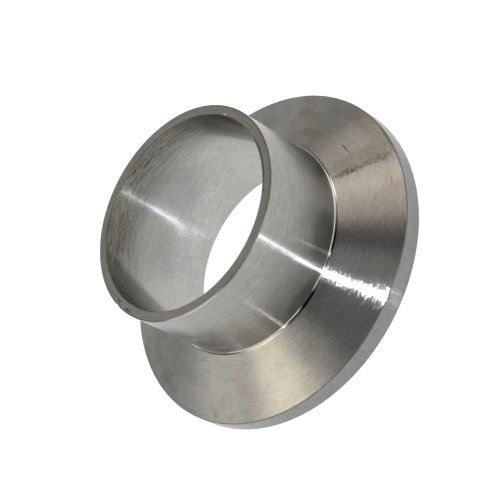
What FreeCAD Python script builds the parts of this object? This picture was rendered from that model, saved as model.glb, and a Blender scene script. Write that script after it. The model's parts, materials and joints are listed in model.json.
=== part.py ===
"""Sanitary clamp ferrule, turned in one piece from stainless steel bar, in millimetres.

A short weld stub of tube stands on a flange. The back of the flange falls away from the stub
as a cone, which the clamp's wedge presses on, and ends in a narrow straight rim. The flat
sealing face under the flange carries the round-bottomed groove for the gasket's bead.

The sealing face lies on z = 0, the stub points up along +Z, and the bore's axis is the Z axis.
"""

import FreeCAD, Part
import math
import os
from collections import namedtuple

import Sketcher

NODE = "clamp_ferrule"
OUTPUT_FOLDER = "parts"

# Driving dimensions, in millimetres and degrees
SIZES = {
    "bore_diameter": 29.0,
    "stub_wall": 1.5,
    "overall_length": 20.7,
    "flange_diameter": 50.5,
    "rim_thickness": 2.85,
    "cone_angle": 23.0,
    "root_radius": 0.5,
    "cone_rim_chamfer": 0.12,
    "face_rim_chamfer": 0.2,
    "stub_outer_chamfer": 0.2,
    "stub_inner_chamfer": 0.1,
    "bore_mouth_chamfer": 0.1,
    "groove_radius": 2.35,
    "groove_depth": 1.6,
    "groove_outer_land": 1.27,
    "groove_lip_chamfer": 0.15,
}

# The sketcher's own numbers for the ends and centre of a curve, and for the sketch's axis
START, END, CENTRE = range(1, 4)
HORIZONTAL_AXIS = -1
ORIGIN = (HORIZONTAL_AXIS, START)

# A corner of a section: its sharp place, and the chamfer or rounding that breaks it
Corner = namedtuple("Corner", "name place finish size_name")


def size_sheet(document):
    """The spreadsheet that holds every driving dimension under its alias."""
    sheet = document.addObject("Spreadsheet::Sheet", "sizes")
    for row, (alias, value) in enumerate(SIZES.items(), start=1):
        sheet.set(f"A{row}", alias)
        sheet.set(f"B{row}", str(value))
        sheet.setAlias(f"B{row}", alias)
    document.recompute()
    return sheet


def section_sketch(body, name):
    """An empty sketch on the plane through the axis: its x is the radius, its y the height."""
    planes = {feature.Role: feature for feature in body.Origin.OriginFeatures}
    sketch = body.newObject("Sketcher::SketchObject", name)
    sketch.AttachmentSupport = [(planes["XZ_Plane"], "")]
    sketch.MapMode = "FlatFace"
    return sketch


def join(sketch, kind, first, second):
    """Joins the ends of two curves, each given as its number and which end."""
    sketch.addConstraint(Sketcher.Constraint(kind, *first, *second))


def dimension(sketch, name, expression, kind, *places_and_value):
    """Adds a dimension to the sketch and ties it to the spreadsheet."""
    index = sketch.addConstraint(Sketcher.Constraint(kind, *places_and_value))
    sketch.renameConstraint(index, name)
    sketch.setExpression(f"Constraints.{name}", expression)


def arc_between(centre, radius, start, end):
    """The arc that runs anticlockwise from start to end."""
    start_angle = math.atan2(start.y - centre.y, start.x - centre.x)
    end_angle = math.atan2(end.y - centre.y, end.x - centre.x)
    if end_angle < start_angle:
        end_angle += 2 * math.pi
    circle = Part.Circle(centre, FreeCAD.Vector(0, 0, 1), radius)
    return Part.ArcOfCircle(circle, start_angle, end_angle)


def corner_piece(before, corner, after):
    """The curve that breaks a corner, and which of its ends comes first along the outline."""
    size = SIZES[corner.size_name]
    back = (before - corner.place).normalize()
    ahead = (after - corner.place).normalize()
    if corner.finish == "chamfer":
        return Part.LineSegment(corner.place + back * size, corner.place + ahead * size), START
    half_angle = back.getAngle(ahead) / 2
    entry = corner.place + back * (size / math.tan(half_angle))
    leave = corner.place + ahead * (size / math.tan(half_angle))
    centre = corner.place + (back + ahead).normalize() * (size / math.sin(half_angle))
    if back.cross(ahead).z < 0:
        return arc_between(centre, size, entry, leave), START
    return arc_between(centre, size, leave, entry), END


def curve_end(curve, end):
    """The point at the given end of a curve."""
    return curve.StartPoint if end == START else curve.EndPoint


def draw_outline(sketch, corners):
    """Draws a closed outline with all its corners broken.

    Side number n runs from corner n to the next one. A rounding is tangent to its two sides, and
    both ends of a chamfer lie the chamfer's size away from the sharp corner. Returns the numbers
    of the sides and those of the construction points that mark the sharp corners.
    """
    pieces = []
    for number, corner in enumerate(corners):
        after = corners[(number + 1) % len(corners)]
        pieces.append(corner_piece(corners[number - 1].place, corner, after.place))
    sides = []
    sharp_corners = []
    for number, (piece, first_end) in enumerate(pieces):
        next_piece, next_first_end = pieces[(number + 1) % len(pieces)]
        last_end = END if first_end == START else START
        side = Part.LineSegment(curve_end(piece, last_end), curve_end(next_piece, next_first_end))
        sides.append(sketch.addGeometry(side, False))
    for number, (corner, (piece, first_end)) in enumerate(zip(corners, pieces)):
        index = sketch.addGeometry(piece, False)
        last_end = END if first_end == START else START
        kind = "Tangent" if corner.finish == "round" else "Coincident"
        join(sketch, kind, (sides[number - 1], END), (index, first_end))
        join(sketch, kind, (index, last_end), (sides[number], START))
        sharp = sketch.addGeometry(Part.Point(corner.place), True)
        sharp_corners.append(sharp)
        for side in (sides[number - 1], sides[number]):
            sketch.addConstraint(Sketcher.Constraint("PointOnObject", sharp, START, side))
        bind_corner_size(sketch, corner, index, sharp)
    return sides, sharp_corners


def bind_corner_size(sketch, corner, index, sharp):
    """Ties a corner's rounding or chamfer to its size in the spreadsheet."""
    size = SIZES[corner.size_name]
    expression = f"sizes.{corner.size_name}"
    if corner.finish == "round":
        dimension(sketch, f"{corner.name}_radius", expression, "Radius", index, size)
        return
    for side_name, end in (("before", START), ("after", END)):
        name = f"{corner.name}_chamfer_{side_name}"
        dimension(sketch, name, expression, "Distance", sharp, START, index, end, size)


def turned_blank(body):
    """The bored stub and its flange, revolved from one half section."""
    bore_radius = SIZES["bore_diameter"] / 2
    wall = SIZES["stub_wall"]
    stub_radius = bore_radius + wall
    flange_radius = SIZES["flange_diameter"] / 2
    length = SIZES["overall_length"]
    rim = SIZES["rim_thickness"]
    slope = math.radians(SIZES["cone_angle"])
    root_height = rim + (flange_radius - stub_radius) * math.tan(slope)
    corners = [
        Corner("bore_mouth", FreeCAD.Vector(bore_radius, 0, 0), "chamfer", "bore_mouth_chamfer"),
        Corner("face_rim", FreeCAD.Vector(flange_radius, 0, 0), "chamfer", "face_rim_chamfer"),
        Corner("cone_rim", FreeCAD.Vector(flange_radius, rim, 0), "chamfer", "cone_rim_chamfer"),
        Corner("root", FreeCAD.Vector(stub_radius, root_height, 0), "round", "root_radius"),
        Corner("stub_outer", FreeCAD.Vector(stub_radius, length, 0), "chamfer", "stub_outer_chamfer"),
        Corner("stub_inner", FreeCAD.Vector(bore_radius, length, 0), "chamfer", "stub_inner_chamfer"),
    ]
    sketch = section_sketch(body, "turned_section")
    sides, sharp_corners = draw_outline(sketch, corners)
    sealing_face, rim_side, cone, stub_side, stub_end, bore = sides
    bore_mouth, face_rim, cone_rim, _, stub_outer, stub_inner = sharp_corners
    for line in (sealing_face, stub_end):
        sketch.addConstraint(Sketcher.Constraint("Horizontal", line))
    for line in (rim_side, stub_side, bore):
        sketch.addConstraint(Sketcher.Constraint("Vertical", line))
    sketch.addConstraint(Sketcher.Constraint("PointOnObject", sealing_face, START, HORIZONTAL_AXIS))
    dimension(
        sketch, "bore_radius", "sizes.bore_diameter / 2",
        "DistanceX", *ORIGIN, bore_mouth, START, bore_radius,
    )
    dimension(
        sketch, "stub_wall", "sizes.stub_wall",
        "DistanceX", stub_inner, START, stub_outer, START, wall,
    )
    dimension(
        sketch, "flange_radius", "sizes.flange_diameter / 2",
        "DistanceX", *ORIGIN, face_rim, START, flange_radius,
    )
    dimension(
        sketch, "overall_length", "sizes.overall_length",
        "DistanceY", *ORIGIN, stub_outer, START, length,
    )
    dimension(
        sketch, "rim_thickness", "sizes.rim_thickness",
        "DistanceY", face_rim, START, cone_rim, START, rim,
    )
    dimension(
        sketch, "cone_direction", "180deg - sizes.cone_angle * 1deg",
        "Angle", cone, math.pi - slope,
    )
    return revolve(body, "PartDesign::Revolution", "turned_blank", sketch)


def gasket_groove(body):
    """The round groove in the sealing face, with both of its lips broken at 45 degrees.

    The groove's bottom lies on a circle whose centre is below the sealing face, so its walls
    still lean outward where they reach the lips.
    """
    radius = SIZES["groove_radius"]
    lip = SIZES["groove_lip_chamfer"]
    sunk = radius - SIZES["groove_depth"]
    half_width = math.sqrt(radius**2 - sunk**2)
    middle = SIZES["flange_diameter"] / 2 - SIZES["groove_outer_land"] - half_width
    half_bottom = math.sqrt(radius**2 - (sunk + lip) ** 2)
    groove_centre = FreeCAD.Vector(middle, -sunk, 0)
    inner_edge = FreeCAD.Vector(middle - half_bottom - lip, 0, 0)
    inner_foot = FreeCAD.Vector(middle - half_bottom, lip, 0)
    outer_foot = FreeCAD.Vector(middle + half_bottom, lip, 0)
    outer_edge = FreeCAD.Vector(middle + half_bottom + lip, 0, 0)

    sketch = section_sketch(body, "gasket_groove_section")
    mouth = sketch.addGeometry(Part.LineSegment(inner_edge, outer_edge), False)
    outer_lip = sketch.addGeometry(Part.LineSegment(outer_edge, outer_foot), False)
    bottom_arc = arc_between(groove_centre, radius, outer_foot, inner_foot)
    bottom = sketch.addGeometry(bottom_arc, False)
    inner_lip = sketch.addGeometry(Part.LineSegment(inner_foot, inner_edge), False)
    join(sketch, "Coincident", (mouth, END), (outer_lip, START))
    join(sketch, "Coincident", (outer_lip, END), (bottom, START))
    join(sketch, "Coincident", (bottom, END), (inner_lip, START))
    join(sketch, "Coincident", (inner_lip, END), (mouth, START))
    sketch.addConstraint(Sketcher.Constraint("PointOnObject", mouth, START, HORIZONTAL_AXIS))
    sketch.addConstraint(Sketcher.Constraint("Horizontal", mouth))
    lip_legs = (
        ("outer_lip_rise", "DistanceY", outer_lip, START, END),
        ("outer_lip_run", "DistanceX", outer_lip, END, START),
        ("inner_lip_rise", "DistanceY", inner_lip, END, START),
        ("inner_lip_run", "DistanceX", inner_lip, END, START),
    )
    for name, kind, line, low, high in lip_legs:
        dimension(sketch, name, "sizes.groove_lip_chamfer", kind, line, low, line, high, lip)
    dimension(sketch, "groove_radius", "sizes.groove_radius", "Radius", bottom, radius)
    dimension(
        sketch, "centre_below_face", "sizes.groove_radius - sizes.groove_depth",
        "DistanceY", bottom, CENTRE, *ORIGIN, sunk,
    )
    dimension(
        sketch, "groove_middle",
        "sizes.flange_diameter / 2 - sizes.groove_outer_land"
        " - sqrt(sizes.groove_radius^2 - (sizes.groove_radius - sizes.groove_depth)^2)",
        "DistanceX", *ORIGIN, bottom, CENTRE, middle,
    )
    return revolve(body, "PartDesign::Groove", "gasket_groove", sketch)


def revolve(body, kind, name, sketch):
    """A full turn of a section round the bore's axis, added to the body or cut from it."""
    feature = body.newObject(kind, name)
    feature.Profile = sketch
    feature.ReferenceAxis = (sketch, ["V_Axis"])
    feature.Angle = 360
    body.Document.recompute()
    return feature


def check_document(document):
    """Stops the run if a feature failed or a sketch is left loose."""
    for item in document.Objects:
        if "Invalid" in item.State or "Error" in item.State:
            raise RuntimeError(f"{item.Name} did not compute: {item.State}")
        if item.TypeId == "Sketcher::SketchObject" and not item.FullyConstrained:
            raise RuntimeError(f"{item.Name} is not fully constrained")


def export_body(body):
    """Writes the body's finished solid to its STEP file."""
    shape = body.Shape
    if shape.isNull() or not shape.isValid() or len(shape.Solids) != 1:
        raise RuntimeError(f"{body.Label} is not one valid solid")
    os.makedirs(OUTPUT_FOLDER, exist_ok=True)
    shape.exportStep(os.path.join(OUTPUT_FOLDER, f"{body.Label}.step"))
    print(f"{body.Label}: volume {shape.Volume:.1f} mm3, {len(shape.Faces)} faces")


def main():
    """Makes the ferrule, checks that the groove was cut and writes the part's file."""
    document = FreeCAD.newDocument("clamp_ferrule_document")
    size_sheet(document)
    body = document.addObject("PartDesign::Body", NODE)
    body.Label = NODE
    blank = turned_blank(body)
    groove = gasket_groove(body)
    body.Placement = FreeCAD.Placement()
    document.recompute()
    check_document(document)
    if not groove.Shape.Volume < blank.Shape.Volume:
        raise RuntimeError("the gasket groove took nothing away")
    export_body(body)


main()
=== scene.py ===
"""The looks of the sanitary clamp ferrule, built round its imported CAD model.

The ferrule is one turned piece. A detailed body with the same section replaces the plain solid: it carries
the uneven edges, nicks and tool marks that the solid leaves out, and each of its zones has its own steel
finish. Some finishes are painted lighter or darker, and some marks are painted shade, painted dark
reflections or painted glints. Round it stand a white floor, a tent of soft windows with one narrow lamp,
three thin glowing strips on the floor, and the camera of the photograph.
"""

from __future__ import annotations

import json
import logging
import math
from dataclasses import dataclass
from dataclasses import field
from enum import Enum

import bmesh
import bpy
from mathutils import Matrix
from mathutils import Vector
from mathutils import noise

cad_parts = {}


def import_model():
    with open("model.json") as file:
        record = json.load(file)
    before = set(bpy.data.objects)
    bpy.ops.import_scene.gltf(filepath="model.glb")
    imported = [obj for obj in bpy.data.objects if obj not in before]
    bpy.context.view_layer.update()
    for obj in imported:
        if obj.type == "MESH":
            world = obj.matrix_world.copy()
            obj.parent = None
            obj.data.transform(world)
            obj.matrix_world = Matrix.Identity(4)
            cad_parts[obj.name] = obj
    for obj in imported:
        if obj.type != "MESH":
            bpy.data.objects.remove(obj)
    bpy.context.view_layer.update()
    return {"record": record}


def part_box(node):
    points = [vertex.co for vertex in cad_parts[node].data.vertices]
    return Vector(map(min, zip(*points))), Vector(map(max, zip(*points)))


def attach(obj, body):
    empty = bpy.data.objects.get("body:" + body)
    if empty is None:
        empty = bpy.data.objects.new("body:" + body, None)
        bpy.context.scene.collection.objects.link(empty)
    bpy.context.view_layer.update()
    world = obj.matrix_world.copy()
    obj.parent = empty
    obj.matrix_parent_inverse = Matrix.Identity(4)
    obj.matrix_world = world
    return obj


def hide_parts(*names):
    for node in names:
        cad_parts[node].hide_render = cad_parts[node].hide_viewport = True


LOG = logging.getLogger("ferrule")
MM = 0.001
NODE = "clamp_ferrule"

# How much of each noise's range a finish uses, from nothing to full
CLOUD_RANGE = (0.3, 0.7)
LINE_RANGE = (0.25, 0.75)
WARM_RANGE = (0.48, 0.64)
STREAK_RANGE = (0.4, 0.66)
STROKE_RANGE = (0.36, 0.6)

Socket = bpy.types.NodeSocket
Fed = float | tuple[float, ...] | Socket


@dataclass(frozen=True)
class AxisPlace:
    """A surface point's place round the upright axis, as sockets in metres."""

    place: Socket
    x: Socket
    y: Socket
    height: Socket
    flat: Socket
    radius: Socket


class Wiring:
    """Adds nodes to one node tree and joins them."""

    def __init__(self, tree: bpy.types.NodeTree) -> None:
        """Keeps the tree that the nodes go into.

        Args:
            tree: a material's, world's or group's node tree.
        """
        self.tree = tree

    def feed(self, socket: Socket, value: Fed) -> None:
        """Links a socket to another one, or sets it to a plain value."""
        if isinstance(value, bpy.types.NodeSocket):
            self.tree.links.new(value, socket)
        else:
            socket.default_value = value

    def add(self, kind: str, settings: dict[str, object] | None = None, **fed: Fed) -> bpy.types.Node:
        """Adds a node.

        Args:
            kind: the node's type name, such as ShaderNodeBump.
            settings: properties of the node itself.
            **fed: what its inputs get, by input name with underscores for spaces.

        Returns:
            The new node.
        """
        node = self.tree.nodes.new(kind)
        for name, value in (settings or {}).items():
            setattr(node, name, value)
        for name, value in fed.items():
            self.feed(node.inputs[name.replace("_", " ")], value)
        return node

    def place_group(self, group: bpy.types.NodeTree, label: str = "", **fed: Fed) -> Socket:
        """Places a node group.

        Args:
            group: the group to place.
            label: what the placed node is called.
            **fed: what its inputs get, as in add.

        Returns:
            The group's first output.
        """
        return self.add("ShaderNodeGroup", {"node_tree": group, "label": label}, **fed).outputs[0]

    def math(self, operation: str, *values: Fed) -> Socket:
        """A Math node on one to three values; returns its result."""
        node = self.add("ShaderNodeMath", {"operation": operation})
        for socket, value in zip(node.inputs, values):
            self.feed(socket, value)
        return node.outputs[0]

    def vector(self, operation: str, *values: Fed) -> bpy.types.Node:
        """A Vector Math node on one to three vectors, for its Vector or Value output."""
        node = self.add("ShaderNodeVectorMath", {"operation": operation})
        for socket, value in zip(node.inputs, values):
            self.feed(socket, value)
        return node

    def scaled(self, value: Fed, scale: Fed) -> Socket:
        """A vector or colour times a number; returns the result."""
        node = self.vector("SCALE", value)
        self.feed(node.inputs["Scale"], scale)
        return node.outputs["Vector"]

    def span(self, value: Fed, low: Fed, high: Fed, to_low: Fed = 0.0, to_high: Fed = 1.0) -> Socket:
        """Maps low to high smoothly onto to_low to to_high, and holds it there beyond."""
        node = self.add("ShaderNodeMapRange", {"interpolation_type": "SMOOTHSTEP"})
        for socket, item in zip(node.inputs, (value, low, high, to_low, to_high)):
            self.feed(socket, item)
        return node.outputs[0]

    def tint(self, mask: Fed, colour: Fed, tone: tuple[float, float, float]) -> Socket:
        """Multiplies a colour by a tone where the mask says so; returns the colour."""
        node = self.add("ShaderNodeMix", {"data_type": "RGBA", "blend_type": "MULTIPLY"})
        factor, first, second = node.inputs[0], node.inputs[6], node.inputs[7]
        self.feed(factor, mask)
        self.feed(first, colour)
        self.feed(second, (*tone, 1.0))
        return node.outputs[2]

    def axis_place(self) -> AxisPlace:
        """Where each point of the object lies round the upright axis; returns the sockets that say it."""
        place = self.add("ShaderNodeTexCoord").outputs["Object"]
        apart = self.add("ShaderNodeSeparateXYZ", Vector=place).outputs
        flat = self.add("ShaderNodeCombineXYZ", X=apart["X"], Y=apart["Y"]).outputs[0]
        radius = self.vector("LENGTH", flat).outputs["Value"]
        return AxisPlace(place, apart["X"], apart["Y"], apart["Z"], flat, radius)


class GroupWiring(Wiring):
    """Starts a shader node group, wires it and finishes it."""

    def __init__(self, name: str, inputs: dict[str, float], output: str, kind: str = "Float") -> None:
        """Starts the group.

        Args:
            name: the group's name.
            inputs: its number inputs and their usual values.
            output: the name of its one output.
            kind: that output's kind, Float or Vector.
        """
        super().__init__(bpy.data.node_groups.new(name, "ShaderNodeTree"))
        for label, value in inputs.items():
            made = self.tree.interface.new_socket(label, in_out="INPUT", socket_type="NodeSocketFloat")
            made.default_value = value
        self.tree.interface.new_socket(output, in_out="OUTPUT", socket_type="NodeSocket" + kind)
        self.given = self.tree.nodes.new("NodeGroupInput").outputs

    def finish(self, result: Socket) -> bpy.types.NodeTree:
        """Joins the result to the group's output; returns the group."""
        self.feed(self.tree.nodes.new("NodeGroupOutput").inputs[0], result)
        return self.tree


def bare_material(name: str) -> bpy.types.Material:
    """A material with an empty node tree."""
    material = bpy.data.materials.new(name)
    material.use_nodes = True
    material.node_tree.nodes.clear()
    return material


def make_object(name: str, bm: bmesh.types.BMesh, materials: list[bpy.types.Material]) -> bpy.types.Object:
    """Turns a bmesh into an object of the scene, and frees the bmesh.

    Args:
        name: what the object and its mesh are called.
        bm: the shape, in metres.
        materials: its materials, in the order of its faces' material numbers.

    Returns:
        The object, unturned at the origin.
    """
    mesh = bpy.data.meshes.new(name)
    bm.to_mesh(mesh)
    bm.free()
    for material in materials:
        mesh.materials.append(material)
    made = bpy.data.objects.new(name, mesh)
    bpy.context.scene.collection.objects.link(made)
    return made


class SurfaceEffects:
    """The node groups that the finishes share."""

    # In mm: the radius at which a line has its stated length, and the size of the lines' drift
    LINE_RADIUS = 18.0
    DRIFT_SIZE = 0.7
    # How quickly the rows of lines follow one another up a wall, against over a flat face
    RISE_SHARE = 0.8
    LINE_ROUGHNESS = 0.6
    # How much farther than the rest the strongest strokes lean
    COMB_REACH = 6.0
    # Where a spot starts to fade and where it ends, as shares of its half size
    SPOT_CORE = 0.55
    SPOT_END = 1.2

    def __init__(self) -> None:
        """Builds each group once."""
        self.grain = self.build_grain()
        self.mottle = self.build_mottle()
        self.spot = self.build_spot()
        self.comb = self.build_comb()

    def cloud(self, wiring: Wiring, size: float, detail: float) -> Socket:
        """Places the mottle group for clouds of that size in mm; returns its value."""
        return wiring.place_group(self.mottle, Size=size, Detail=detail)

    def strokes(self, wiring: Wiring, lines: Lines) -> Socket:
        """Places the grain group for one set of lines; returns its height."""
        return wiring.place_group(
            self.grain,
            Length=lines.length,
            Pitch=lines.pitch,
            Waver=lines.waver,
            Detail=lines.detail,
        )

    def build_grain(self) -> bpy.types.NodeTree:
        """Fine lines round the axis, as turning and brushing leave them.

        Returns:
            A group with the lines' length, pitch and waver in mm and their detail, and their height.
        """
        inputs = {"Length": 3.0, "Pitch": 0.05, "Waver": 0.0, "Detail": 3.0}
        wiring = GroupWiring("grain round the axis", inputs, "Height")
        given = wiring.given
        here = wiring.axis_place()
        around = wiring.vector("NORMALIZE", here.flat).outputs["Vector"]
        turned = wiring.scaled(around, wiring.math("DIVIDE", self.LINE_RADIUS, given["Length"]))
        along = wiring.math("SUBTRACT", wiring.math("MULTIPLY", here.height, self.RISE_SHARE), here.radius)
        waves = 1.0 / (self.DRIFT_SIZE * MM)
        drifting = wiring.add("ShaderNodeTexNoise", Vector=here.place, Scale=waves, Detail=1.0)
        drift = wiring.math("SUBTRACT", drifting.outputs["Fac"], 0.5)
        moved = wiring.math("MULTIPLY_ADD", drift, given["Waver"], wiring.math("MULTIPLY", along, 1.0 / MM))
        rows = wiring.math("DIVIDE", moved, given["Pitch"])
        split = wiring.add("ShaderNodeSeparateXYZ", Vector=turned).outputs
        where = wiring.add("ShaderNodeCombineXYZ", X=split["X"], Y=split["Y"], Z=rows).outputs[0]
        lines = wiring.add("ShaderNodeTexNoise", Vector=where, Scale=1.0, Detail=given["Detail"])
        lines.inputs["Roughness"].default_value = self.LINE_ROUGHNESS
        return wiring.finish(lines.outputs["Fac"])

    def build_comb(self) -> bpy.types.NodeTree:
        """Leans the surface a little along the lines, stroke by stroke, which combs a highlight's edge.

        Returns:
            A group with the strokes' length and pitch in mm and their lean, and the leant normal.
        """
        inputs = {"Length": 0.7, "Pitch": 0.15, "Lean": 0.02}
        wiring = GroupWiring("combed normal", inputs, "Normal", "Vector")
        given = wiring.given
        facing = wiring.add("ShaderNodeNewGeometry").outputs["Normal"]
        round_way = wiring.add("ShaderNodeTangent", {"direction_type": "RADIAL", "axis": "Z"}).outputs[0]
        strokes = wiring.place_group(self.grain, Length=given["Length"], Pitch=given["Pitch"], Detail=2.0)
        tilt = wiring.math("MULTIPLY_ADD", strokes, 2.0, -1.0)
        cubed = wiring.math("MULTIPLY", tilt, wiring.math("MULTIPLY", tilt, tilt))
        reaching = wiring.math("MULTIPLY_ADD", cubed, self.COMB_REACH, tilt)
        sway = wiring.math("MULTIPLY", reaching, given["Lean"])
        leant = wiring.vector("MULTIPLY_ADD", round_way, sway, facing).outputs["Vector"]
        return wiring.finish(wiring.vector("NORMALIZE", leant).outputs["Vector"])

    @staticmethod
    def build_mottle() -> bpy.types.NodeTree:
        """Soft clouding of the surface, the same in all directions.

        Returns:
            A group with the cloud's size in mm and its detail, and its value.
        """
        wiring = GroupWiring("mottle", {"Size": 2.0, "Detail": 3.0}, "Value")
        given = wiring.given
        place = wiring.add("ShaderNodeTexCoord").outputs["Object"]
        scale = wiring.math("DIVIDE", 1.0 / MM, given["Size"])
        clouds = wiring.add("ShaderNodeTexNoise", Vector=place, Scale=scale, Detail=given["Detail"])
        return wiring.finish(clouds.outputs["Fac"])

    def build_spot(self) -> bpy.types.NodeTree:
        """A small ragged spot at one place on the surface.

        Returns:
            A group with the spot's place and size, and its mask. Place is a height on an upright wall
            and a radius on a flat or sloped face, in mm.
        """
        inputs = {
            "Azimuth": 0.0,
            "Place": 10.0,
            "Round": 1.0,
            "Across": 0.3,
            "Slant": 0.0,
            "Ragged": 0.5,
            "Upright": 1.0,
            "Wobble": 0.5,
        }
        wiring = GroupWiring("ragged spot", inputs, "Mask")
        given = wiring.given
        here = wiring.axis_place()
        radius = wiring.math("MULTIPLY", here.radius, 1.0 / MM)
        height = wiring.math("MULTIPLY", here.height, 1.0 / MM)
        azimuth = wiring.math("ARCTAN2", here.y, here.x)
        off = wiring.math("SUBTRACT", azimuth, wiring.math("RADIANS", given["Azimuth"]))
        arc = wiring.math("MULTIPLY", wiring.math("WRAP", off, math.pi, -math.pi), radius)
        rise = wiring.math("SUBTRACT", height, radius)
        level = wiring.math("MULTIPLY_ADD", rise, given["Upright"], radius)
        across = wiring.math("SUBTRACT", level, given["Place"])
        across = wiring.math("MULTIPLY_ADD", arc, given["Slant"], across)
        offset = wiring.add(
            "ShaderNodeCombineXYZ",
            X=wiring.math("DIVIDE", arc, given["Round"]),
            Y=wiring.math("DIVIDE", across, given["Across"]),
        )
        reach = wiring.vector("LENGTH", offset.outputs[0]).outputs["Value"]
        shake = wiring.math("MULTIPLY", wiring.math("SUBTRACT", given["Wobble"], 0.5), given["Ragged"])
        shaken = wiring.math("ADD", reach, shake)
        return wiring.finish(wiring.span(shaken, self.SPOT_CORE, self.SPOT_END, 1.0, 0.0))


class Zone(Enum):
    """The zones of the ferrule that are cut or brushed in one way each."""

    STUB = 0
    BACK = 1
    RIM = 2
    ROOT = 3
    BORE = 4
    LIP = 5
    FACE = 6
    EDGE = 7


@dataclass(frozen=True)
class Spot:
    """One stained, nicked or worn place, or a patch of painted shade, painted dark reflection or painted
    glint: where it sits, its half sizes in mm, and the tone it takes.

    The place is a height on an upright wall and a radius elsewhere. A slant moves it that far across for
    each mm round. A brushed spot is broken up by fine strokes, and the others are even.
    """

    name: str
    azimuth: float
    place: float
    round_half: float
    across_half: float
    tone: tuple[float, float, float]
    slant: float = 0.0
    ragged: float = 1.5
    depth: float = 0.0
    brushed: bool = True


@dataclass(frozen=True)
class Lines:
    """One set of lines in a finish, in mm, and how far it shades, dulls and cuts the steel."""

    length: float
    pitch: float
    waver: float = 0.0
    detail: float = 3.0
    shade: float = 0.0
    dull: float = 0.0
    depth: float = 0.0


@dataclass(frozen=True)
class StainOrShade:
    """A discoloured belt, or a belt of painted shade, between two heights or radii in mm, streaked along the
    lines.
    """

    start: float
    full: float
    tone: tuple[float, float, float]
    least: float = 0.0
    streak_length: float = 8.0
    streak_pitch: float = 0.4
    streak_waver: float = 0.08
    dull: float = 0.0


@dataclass
class Coat:
    """A finish while it is laid: the steel's colour, roughness and height so far."""

    colour: Fed
    dull: Fed
    height: Fed


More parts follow.
